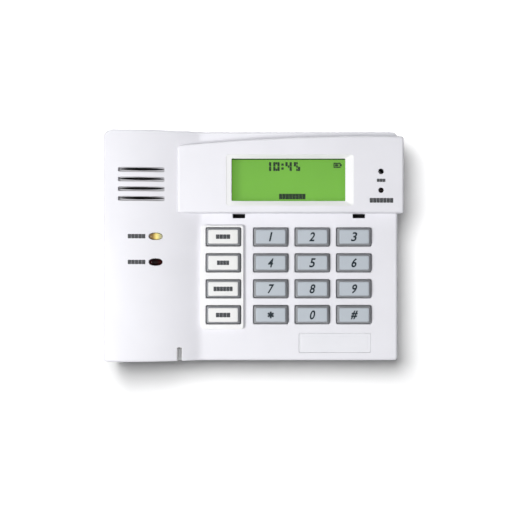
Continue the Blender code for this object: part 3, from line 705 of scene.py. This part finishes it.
def front_case_holes():
    """Cutters for all the openings in the panel and the tower."""
    start = BEHIND_FACE[0]
    holes = [key_hole(x, z, body_face, start, 0.4) for x, z in centres(["key_" + key for key in DIGITS])]
    holes += [mouth(lambda grow, z=z: grille_slot(z, grow, 1.5, 1.8),
                    shifted(body_face, -GRILLE_FLOOR), 20.0, 0.1) for z in GRILLE_Z]
    holes += [light_pipe_hole(name) for name in ("power_light_pipe", "alarm_light_pipe")]
    holes += [mouth(hole(x, LATCH_Z, 0.3), body_face, start, 0.2) for x in LATCH_X]
    # The notch's faces take the lighter trim white, as painted light in its shade.
    notch = mouth(hole(HINGE_X, (BOTTOM - 6.0, HINGE_TOP), 0.5), body_face, HINGE_FLOOR, 0.3)
    holes.append(painted(notch, NOTCH_PAINTED_LIGHT_SLOT))
    holes.append(mouth(hole(*NAMEPLATE, 0.8), body_face, PANEL - NAMEPLATE_DEPTH, 0.15))
    surround_x, _, surround_z = node_box("function_key_surround")
    holes.append(block(widened(surround_x, -0.5), widened(surround_z, -0.5), BEHIND_FACE, 0.8))
    window_z = (LIT_Z[0] - 3.4, LIT_Z[1] + 5.4)
    holes.append(block(widened(LIT_X, 4.0), window_z, BEHIND_FACE, 0.8))
    for name, radius in (("microphone_boot", 3.4), ("message_light_pipe", 2.0)):
        x, _, z = middle(name)
        holes.append(rod(x, z, radius, BEHIND_FACE))
    return holes


def make_front_case():
    case = new_object("front_case_shell", skin(body_outline, body_face, EDGE, SEAM),
                      "housing", "recess", "trim")
    cut(case, front_case_cavity())
    cut(case, solid([ring(body_outline(REBATE), d) for d in REBATE_DEPTH]))
    hinge_pocket = block(widened(HINGE_X, 1.5), (BOTTOM + 1.0, HINGE_TOP + 1.5), (16.8, 24.2))
    join(case, speaker_wall(), *screw_posts(), hinge_pocket)
    cut(case, *[grille_lip(z) for z in GRILLE_Z])
    cut(case, *front_case_holes())
    return finished(case, ROOT, "housing", "front_case")


def make_bezel():
    """The display surround, hollow behind, with a rim that frames the display."""
    def outline(inset, count=60):
        return span(BEZEL_X, (BEZEL_Z[0], bezel_top), (1.4, 1.7, 1.2, 1.2), inset, count)

    bezel = new_object("display_bezel_shell", skin(outline, bezel_face, 1.3, BEHIND_FACE[0]),
                       "housing", "trim")
    gap, back = 0.15, 4.0
    grown_body = skin(lambda inset: body_outline(inset - gap), shifted(body_face, gap), EDGE, 2.0)
    hollow = block((VALLEY_X + 2.0, 74.0), (BEZEL_Z[0] + 2.0, 51.5), (back, 26.2))
    rim = block(widened(LIT_X, 5.2), widened(LIT_Z, 4.0), (23.0, 27.0))
    window_seat = block(widened(LIT_X, 2.3), widened(LIT_Z, 2.3), (back, 26.05), 0.3)
    cut(bezel, grown_body)
    cut(bezel, hollow)
    join(bezel, rim)
    cut(bezel, window_seat)
    sockets = []
    for name, bore in (("microphone_boot", 1.5), ("message_light_pipe", 1.4)):
        x, _, z = middle(name)
        sockets.append(mouth(lambda grow, x=x, z=z, bore=bore: oval(x, z, bore + grow, bore + grow),
                             bezel_face, 20.0, 0.3))
    cut(bezel, view_mouth(), *sockets)
    return finished(bezel, ROOT, "housing", "display_bezel")


def view_mouth():
    """The opening in front of the display: a short step, then a gentle slope out to the face.  Its faces
    take the lighter trim white, which paints light onto the shaded slope.
    """
    window, step, rise, run = node_box("display_window")[1][1] + 0.1, 0.9, 1.0, 6.0

    def outline(share):
        x = (VIEW_X[0] - LEDGE_X[0] * share, VIEW_X[1] + LEDGE_X[1] * share)
        z = (VIEW_Z[0] - LEDGE_Z[0] * share, VIEW_Z[1] + LEDGE_Z[1] * share)
        return span(x, z, (0.5 + 0.9 * share,) * 4, 0.0, 24)

    def step_depth(x):
        """The step is higher at the left end, where the slope is shallower."""
        return window + step + rise * max(0.0, 1.0 - (x - VIEW_X[0]) / run)

    rings = [ring(outline(0.0), 20.0), ring(outline(0.0), step_depth)]
    rings += [ring(outline(share), shifted(bezel_face, by)) for share, by in (
        (0.84, -0.32), (0.91, -0.16), (0.96, -0.06), (1.0, 0.0), (1.0, 3.0))]
    # The opening's faces take the lighter trim white: painted light on the slope.
    return painted(solid(rings), VIEW_PAINTED_LIGHT_SLOT)


def make_surround():
    """The raised strip round the function keys, with a tongue that goes through the panel."""
    x, (back, front), z = node_box("function_key_surround")

    def outline(inset):
        return span(x, z, (1.5,) * 4, inset, 4)

    plate = new_object("function_surround_shell", skin(outline, front, 0.45, PANEL + 0.06), "trim")
    join(plate, block(widened(x, -0.8), widened(z, -0.8), (back, PANEL + 0.8), 0.8))
    cut(plate, *[key_hole(kx, kz, front, back - 1.0, 0.35) for kx, kz in centres(FUNCTION_KEYS)])
    return finished(plate, ROOT, "trim", "function_key_surround")


def make_nameplate():
    """A blank plate with a fine groove inside its edge."""
    x, (back, front), z = node_box("nameplate")
    bevel = 0.05
    levels = ((-0.19, back), (-0.19, front - bevel), (-0.14, front), (0.9, front),
              (1.0, front - bevel), (1.15, front - bevel), (1.25, front))
    shape = solid([ring(span(x, z, (0.7,) * 4, inset, 3), depth) for inset, depth in levels])
    return piece("nameplate_badge", shape, "plate", ROOT, "housing", "nameplate")


# ======== rear case

def make_rear_case():
    """The back: a tray with a rim that plugs into the front case, with slots for hanging it up."""
    def outline(inset):
        return body_outline(inset, 2)

    back, floor, inside, rib = 0.0, 2.0, 4.0, 14.0
    case = new_object("rear_case_shell", skin(outline, back, 1.8, REAR_SEAM, -1), "rear_housing")
    rim = solid([ring(outline(1.2), d) for d in (REAR_SEAM - 2.0, CASE_DEPTH[1])])
    hollow = solid([ring(outline(WALL), d) for d in (floor, 20.0)])
    join(case, rim)
    cut(case, hollow)
    tamper_x, _, tamper_z = middle("tamper_plunger")
    ribs = [block((x - 0.75, x + 0.75), (z, z + rib), (1.0, 6.0)) for x in (-20.0, 20.0)
            for z in (BOTTOM + 1.0, TOP - 1.0 - rib)]
    tamper_pad = rod(tamper_x, tamper_z, 2.5, (1.0, 5.0))
    join(case, tamper_pad, *ribs)
    holes = [mouth(hole(*WIRE_ENTRY, 1.5), back, inside, 0.5, -1)]
    for x, z in KEYHOLES:
        holes.append(mouth(lambda grow, x=x, z=z: keyhole(x, z, grow), back, inside, 0.3, -1))
    for x, z in LOWER_SLOTS:
        holes.append(mouth(hole((x - 2.1, x + 2.1), (z - 5.0, z + 5.0), 2.0), back, inside, 0.3, -1))
    holes.append(mouth(hole(*LABEL_RECESS, 1.0), back, 0.4, 0.15, -1))
    cut(case, *holes)
    for side_z, way in ((BOTTOM, 1), (TOP, -1)):
        cut(case, *[knock_out(x, side_z, way) for x in (-60.0, 0.0, 60.0)])
    return finished(case, ROOT, "rear_housing", "rear_case")


def keyhole(x, z, grow, head=4.0, neck=2.1, rise=7.0):
    """A round head with a narrower slot above it, as stations."""
    stations = []
    for here, top, bottom in oval(x, z, head + grow, head + grow, sides=32):
        if abs(here - x) < neck + grow:
            top = z + rise - neck + math.sqrt(max((neck + grow) ** 2 - (here - x) ** 2, 0.0)) + grow * 0.5
        stations.append((here, top, bottom))
    return stations


def knock_out(x, side_z, way):
    """Cutter for a shallow sunk panel at the edge, broken out where wires run along the wall."""
    near, far = sorted((side_z + way * 0.9, side_z + way * 9.0))
    outline = span((x - 5.0, x + 5.0), (near, far), (1.2,) * 4)
    return solid([ring(outline, d) for d in (-1.0, 0.25)])


def make_rear_label():
    """The blank paper label in its recess, with a thin printed border."""
    x, z = [widened(side, -0.6) for side in LABEL_RECESS]
    shape = solid([ring(span(x, z, (1.0,) * 4, inset, 2), d)
                   for inset, d in ((0.0, 0.34), (0.0, 0.26), (0.05, 0.22))])
    piece("rear_label", shape, "paper", ROOT, "rear_housing")
    x, z = widened(x, -1.2), widened(z, -1.2)
    dark_edge_line = solid([ring(span(x, z, (0.6,) * 4), d) for d in (0.215, 0.17)])
    line = new_object("rear_label_border", dark_edge_line, "legend")
    cut(line, solid([ring(span(widened(x, -0.35), widened(z, -0.35), (0.4,) * 4), d)
                     for d in (0.4, -1.0)]))
    finished(line, ROOT, "rear_housing")


# ======== keys

def make_keys():
    for name in DIGITS:
        make_key("key_" + name, "digit_keys")
    for name in FUNCTION_KEYS:
        make_key(name, "function_keys")


def make_key(node, look):
    """A moulded key: grey tapered skirt and coloured, slightly crowned top."""
    x, (low, top), z = node_box(node)
    x, z = sum(x) / 2, sum(z) / 2
    flange = low + 1.4
    skirt_w, skirt_h = OPENING[0] - 0.8, OPENING[1] - 0.8
    face_w, face_h = KEY_FACE
    # Each level is its depth, width, height and corner radius
    levels = [(low, *KEY_FLANGE, 1.2), (flange, *KEY_FLANGE, 1.2), (flange, skirt_w, skirt_h, 0.8),
              (top - 2.6, skirt_w, skirt_h, 0.8),
              (top - 1.9, skirt_w - 0.4, skirt_h - 0.3, 0.8),
              (top - 0.9, face_w + 1.1, face_h + 1.0, 0.8),
              (top - 0.55, face_w + 0.5, face_h + 0.5, 0.75),
              (top - 0.38, face_w + 0.2, face_h + 0.2, 0.7),
              (top - 0.2, face_w, face_h, 0.65),
              (top - 0.09, face_w - 0.14, face_h - 0.14, 0.6),
              (top - 0.03, face_w - 0.45, face_h - 0.45, 0.5),
              (top - 0.01, face_w - 2.0, face_h - 1.6, 0.5),
              (top, face_w - 6.0, face_h - 3.6, 0.4)]
    rings = [ring(span(*around(x, z, width, height), (corner,) * 4), depth)
             for depth, width, height, corner in levels]
    side, face = 1, 0
    bands = [side if levels[i][0] < top - 0.5 else face for i in range(len(levels) - 1)]
    shape = solid(rings, bands)
    for strip in shape.faces:
        if all(abs(-vert.co.y / MM - top) < 1e-4 for vert in strip.verts):
            strip.material_index = face
        elif all(abs(-vert.co.y / MM - low) < 1e-4 for vert in strip.verts):
            strip.material_index = side
    cap = new_object(node + "_cap", shape, look, "key_side")
    return finished(cap, node + "_cap", look, node, sharp=50.0)


# ======== legends

def bars(cells, face):
    """Flat dark blocks that follow a face: print, and on the display also a painted shadow.  A cell is (x
    range, z range).
    """
    return merged([solid([ring(span(x, z, (0.12,) * 4, per_corner=2, count=3), shifted(face, d))
                          for d in PRINT]) for x, z in cells])


def word(x, z, width, height, letters):
    """Greeked lettering: a row of plain blocks that stands for a word without spelling one."""
    pitch = width / letters
    starts = [x - width / 2 + i * pitch for i in range(letters)]
    return [((left, left + 0.95 * pitch), (z - height / 2, z + height / 2)) for left in starts]


def printed(name, cells, face, look, body=ROOT, slot="housing"):
    return piece(name, bars(cells, face), look, body, slot)


def glyph(name, text, x, z, depth, height, width, weight, body, lean=0.22):
    """One printed character of the built-in face, fitted to a height and width and leaned over."""
    curve = bpy.data.curves.new(name, "FONT")
    curve.body = text
    curve.size = 1.0
    curve.extrude = 0.004
    curve.offset = weight
    curve.resolution_u = 6
    source = in_scene(name, curve)
    mesh = evaluated_mesh(source)
    bpy.data.objects.remove(source, do_unlink=True)
    shape = bmesh.new()
    shape.from_mesh(mesh)
    bpy.data.meshes.remove(mesh)
    bmesh.ops.remove_doubles(shape, verts=shape.verts, dist=1e-5)
    us, vs = [v.co.x for v in shape.verts], [v.co.y for v in shape.verts]
    u_mid, v_mid = (min(us) + max(us)) / 2, (min(vs) + max(vs)) / 2
    scale_u, scale_v = width / (max(us) - min(us)), height / (max(vs) - min(vs))
    for vert in shape.verts:
        u, v, w = (vert.co.x - u_mid) * scale_u, (vert.co.y - v_mid) * scale_v, vert.co.z
        vert.co = place(x + u + v * lean, depth + 0.03 + w * 5.0, z + v)
    return piece(name, outward(shape), "digit_ink", body, "digit_keys")


def asterisk(x, z, depth, arm=1.8, half=0.5):
    """Six short arms round a point, as one flat star.  half is half an arm's width."""
    shape = bmesh.new()
    rings = []
    for rise in (0.02, 0.06):
        points = []
        for i in range(6):
            turn = math.radians(60 * i + 30)
            out = Vector((math.cos(turn), math.sin(turn)))
            across = Vector((-math.sin(turn), math.cos(turn)))
            inner = out * (half / math.tan(math.radians(30)))
            points += [inner - across * half, out * arm - across * half, out * arm + across * half]
        rings.append([shape.verts.new(place(x + p.x, depth + rise, z + p.y)) for p in points])
    shape.faces.new(rings[0])
    shape.faces.new(rings[1])
    for i in range(len(rings[0])):
        j = (i + 1) % len(rings[0])
        shape.faces.new((rings[0][i], rings[0][j], rings[1][j], rings[1][i]))
    return outward(shape)


def make_key_legends():
    """Leaning numbers on the digit keys and greeked words on the function keys."""
    sizes = {"hash": (4.6, 3.2), "1": (4.9, 0.9)}
    weights = {"hash": 0.04, "3": 0.02}
    for name in DIGITS:
        node = "key_" + name
        x, _, z = middle(node)
        top = node_box(node)[1][1]
        if name == "star":
            piece(node + "_legend", asterisk(x, z, top), "digit_ink", node + "_cap", "digit_keys")
        else:
            glyph(node + "_legend", "#" if name == "hash" else name, x, z, top,
                  *sizes.get(name, (4.9, 2.7)), weights.get(name, 0.024), node + "_cap")
    for node, letters, width in zip(FUNCTION_KEYS, (4, 4, 6, 4), (7.7, 6.5, 10.2, 7.7)):
        x, _, z = middle(node)
        printed(node + "_legend", word(x, z, width, 2.4, letters), node_box(node)[1][1], "legend",
                node + "_cap", "function_keys")


def make_front_legends():
    """Greeked labels beside the lights and the microphone."""
    for name in ("power", "alarm"):
        x, _, z = middle(name + "_light_pipe")
        printed(name + "_light_label", word(x - 9.8, z, 9.2, LABEL_HEIGHT, 5), body_face, "label")
    mic_x, _, mic_z = middle("microphone_boot")
    message_z = middle("message_light_pipe")[2]
    printed("microphone_label", word(mic_x, (mic_z + message_z) / 2 + 0.2, 4.6, 1.7, 3), bezel_face,
            "label")
    printed("message_light_label", word(mic_x + 0.2, message_z - 5.4, 12.6, 2.5, 7), bezel_face, "label")


# ======== display

SEGMENTS = {"0": "abcdef", "1": "bc", "2": "abged", "3": "abgcd", "4": "fgbc", "5": "afgcd",
            "6": "afgedc", "7": "abc", "8": "abcdefg", "9": "abcdfg"}


def segment_cells(text, x, z, height):
    """Seven-segment numbers, centred on x and z."""
    wide, stroke, pitch = height * 0.72, height * 0.27, height * 0.94
    half = height / 2
    advance = [pitch * (0.45 if mark == ":" else 1.0) for mark in text]
    left = x - sum(advance) / 2 + (pitch - wide) / 2
    cells = []
    for mark, step in zip(text, advance):
        if mark == ":":
            middle_x = left + (step - (pitch - wide)) / 2
            for rise in (0.22, -0.22):
                cells.append(((middle_x - stroke / 2, middle_x + stroke / 2),
                              (z + rise * height - stroke / 2, z + rise * height + stroke / 2)))
        else:
            gap = stroke * 0.06
            right = left + wide
            places = {
                "a": ((left + stroke, right - stroke), (z + half - stroke, z + half)),
                "g": ((left + stroke, right - stroke), (z - stroke / 2, z + stroke / 2)),
                "d": ((left + stroke, right - stroke), (z - half, z - half + stroke)),
                "f": ((left, left + stroke - gap), (z + gap, z + half)),
                "e": ((left, left + stroke - gap), (z - half, z - gap)),
                "b": ((right - stroke + gap, right), (z + gap, z + half)),
                "c": ((right - stroke + gap, right), (z - half, z - gap)),
            }
            cells += [places[key] for key in SEGMENTS[mark]]
        left += step
    return cells


def make_display():
    """The dark marks on the display: a painted shadow along its top and left edges, a clock, a status bar
    and a battery symbol.
    """
    x, z = BATTERY
    battery = [((-2.3, 1.6), (0.75, 1.4)), ((-2.3, 1.6), (-1.4, -0.75)), ((-2.3, -1.7), (-0.73, 0.73)),
               ((1.0, 1.6), (-0.73, 0.73)), ((1.62, 2.2), (-0.6, 0.6)), ((-1.5, 0.4), (-0.55, 0.55))]
    marks = {
        # A painted shadow: dark strips along the top and left edges of the display, where the surround's
        # lip shades it.
        "dark_edge_line": [((VIEW_X[0] - 0.6, VIEW_X[1] + 0.6), (VIEW_Z[1] + 0.05, VIEW_Z[1] + 1.0)),
                   ((VIEW_X[0] - 0.6, VIEW_X[0]), (VIEW_Z[0] - 0.5, VIEW_Z[1]))],
        "clock": segment_cells("10:45", *CLOCK, CLOCK_HEIGHT),
        "status_bar": word(*STATUS_BAR, 8),
        "battery_icon": [((x + a, x + b), (z + c, z + d)) for (a, b), (c, d) in battery],
    }
    glass = node_box("lcd_panel")[1][1]
    for name, cells in marks.items():
        printed("display_" + name, cells, glass, "segment", slot="lcd")


# ======== lights and openings

def make_lenses():
    """The oval status lenses and the small round message light, each with a domed end."""
    for name, look, slot in (("power", "amber_lens", "amber_lens"), ("alarm", "red_lens", "red_lens"),
                             ("message", "message_lens", "red_lens")):
        node = name + "_light_pipe"
        x, _, z = middle(node)
        back, front = node_box(node)[1]
        half_x, half_z = half_sizes(node)
        radius, power = min(half_x, half_z), LENS_POWER if half_x > half_z else 2.0
        dome, tip = radius * 0.55, radius * 0.98
        angles = [math.pi / 2 * i / 7 for i in range(1, 8)]
        levels = [(0.0, back), (0.0, front - dome)]
        levels += [(tip * (1 - math.cos(angle)), front - dome * (1 - math.sin(angle))) for angle in angles]
        shape = solid([ring(oval(x, z, half_x - inset, half_z - inset, power, 28), depth)
                       for inset, depth in levels])
        piece(name + "_lens", shape, look, ROOT, slot, node)


def make_latch_pockets():
    """A small black cup behind each latch slot, which catches the hook of the swing-down door.  Its matt
    near-black, darker than black plastic, paints the shade inside the slot.
    """
    for i, x in enumerate(LATCH_X):
        outer, inner = (widened(x, 1.2), widened(LATCH_Z, 0.7)), (widened(x, 0.3), widened(LATCH_Z, 0.15))
        cup = new_object("latch_pocket_%d" % (i + 1), block(*outer, (16.6, PANEL - WALL - 0.05), 0.6),
                         "dark")
        cut(cup, block(*inner, (17.4, PANEL), 0.4))
        finished(cup, ROOT, "black_plastic")


def dress_frame():
    """Finishes for the CAD pieces that stay as they are."""
    looks = {
        "keymat": "silicone", "display_window": "window", "lcd_frame": "steel", "lcd_panel": "lcd",
        "lcd_backlight": "light_guide", "lcd_contact_strip": "silicone", "main_board": "circuit_board",
        "microcontroller": "black_plastic", "voice_chip": "black_plastic", "capacitor": "steel",
        "terminal_block": "terminal_plastic", "tamper_switch": "black_plastic",
        "tamper_plunger": "rear_housing", "speaker_basket": "steel", "speaker_magnet": "steel",
        "speaker_cone": "cone", "speaker_gasket": "foam", "speaker_screen": "screen",
        "speaker_strap": "steel", "microphone": "steel", "microphone_boot": "foam",
        "power_led": "led", "alarm_led": "led", "message_led": "led",
    }
    for name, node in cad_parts.items():
        look = looks.get(name, "steel" if "screw" in name else None)
        if look:
            for slot in node.material_slots:
                slot.material = LOOKS[look].material


# ======== stage, light and camera

def make_stage():
    """A white wall that shines brighter away from the keypad, seen only from the front."""
    wall = Look("stage_wall", (0.42, 0.42, 0.422), 0.9)
    wall.set("Emission Color", (1.0, 1.0, 1.0, 1.0))
    away = wall.located("ShaderNodeVectorMath", operation="LENGTH")
    near, far = 0.125, 0.30
    glow = wall.remap(away.outputs["Value"], 0.02, 0.9, near, far)
    wall.link(glow, wall.shader.inputs["Emission Strength"])
    wall.set("Specular IOR Level", 0.1)
    clear = wall.node("ShaderNodeBsdfTransparent")
    side = wall.node("ShaderNodeNewGeometry")
    pick = wall.node("ShaderNodeMixShader")
    output = wall.tree.nodes["Material Output"]
    wall.link(side.outputs["Backfacing"], pick.inputs["Fac"])
    wall.link(wall.shader.outputs["BSDF"], pick.inputs[1])
    wall.link(clear.outputs["BSDF"], pick.inputs[2])
    wall.link(pick.outputs["Shader"], output.inputs["Surface"])
    half, gap = 2.0, 0.6 * MM
    mesh = bpy.data.meshes.new("stage_wall")
    corners = [(-half, half), (-half, -half), (half, -half), (half, half)]
    mesh.from_pydata([(x, gap, z) for x, z in corners], [], [(0, 1, 2, 3)])
    mesh.materials.append(wall.material)
    stage = in_scene("stage_wall", mesh)
    stage.visible_shadow = False
    stage.visible_diffuse = False
    return stage


def area_light(name, at, size, power, aim=(0.0, 0.0, 0.0)):
    """A square soft box, in metres and watts."""
    data = bpy.data.lights.new(name, "AREA")
    data.shape = "SQUARE"
    data.size = size
    data.energy = power
    lamp = in_scene(name, data)
    lamp.location = at
    lamp.rotation_euler = (Vector(aim) - Vector(at)).to_track_quat("-Z", "Y").to_euler()
    return lamp


def light_scene(wall):
    """Soft boxes and a pale sky.  The wall has its own key light, which sets its shadow's width."""
    world = bpy.data.worlds.new("studio")
    world.use_nodes = True
    tree = world.node_tree
    sky = tree.nodes["Background"]
    sky.inputs["Color"].default_value = (0.95, 0.96, 1.0, 1.0)
    ray = tree.nodes.new("ShaderNodeLightPath")
    strength = tree.nodes.new("ShaderNodeMapRange")
    strength.inputs["To Min"].default_value = 0.25
    strength.inputs["To Max"].default_value = 0.82
    tree.links.new(ray.outputs["Is Camera Ray"], strength.inputs["Value"])
    tree.links.new(strength.outputs["Result"], sky.inputs["Strength"])
    scene = bpy.context.scene
    scene.world = world
    scene.view_settings.view_transform = "Standard"
    key = area_light("key", (-0.45, -0.70, -0.16), 0.26, 4.7)
    area_light("fill", (0.20, -1.10, -0.10), 1.0, 3.2)
    area_light("top", (-0.20, -0.12, 0.55), 0.30, 0.7)
    wall_key = area_light("wall_key", (-0.07, -0.38, 0.10), 0.25, 5.4, (0.10, 0.0, -0.10))
    area_light("back", (0.30, 0.90, 0.50), 0.8, 9.0)
    wall_only = bpy.data.collections.new("wall_only")
    wall_only.objects.link(wall)
    wall_key.light_linking.receiver_collection = wall_only
    all_but_the_wall = bpy.data.collections.new("all_but_the_wall")
    all_but_the_wall.objects.link(wall)
    all_but_the_wall.collection_objects[0].light_linking.link_state = "EXCLUDE"
    key.light_linking.receiver_collection = all_but_the_wall


def make_camera():
    """Close to the wall and square to it, with the lens shifted towards the keypad's left."""
    distance, plane, frame_width, sensor = 0.45, 0.0235, 0.2741, 36.0
    view_x, view_z = 0.0008, -0.00535
    x, z = 0.0145, -0.012
    data = bpy.data.cameras.new("camera")
    data.sensor_width = sensor
    data.lens = sensor * distance / frame_width
    data.shift_x = (view_x - x) / frame_width
    data.shift_y = (view_z - z) / frame_width
    data.clip_start, data.clip_end = 0.01, 20.0
    camera = in_scene("camera", data)
    camera.location = (x, -(distance + plane), z)
    camera.rotation_euler = (math.pi / 2, 0.0, 0.0)
    bpy.context.scene.camera = camera


# ======== everything

make_camera()
light_scene(make_stage())
make_front_case()
make_rear_case()
make_rear_label()
make_bezel()
make_surround()
make_nameplate()
make_keys()
make_key_legends()
make_front_legends()
make_display()
make_lenses()
make_latch_pockets()
dress_frame()
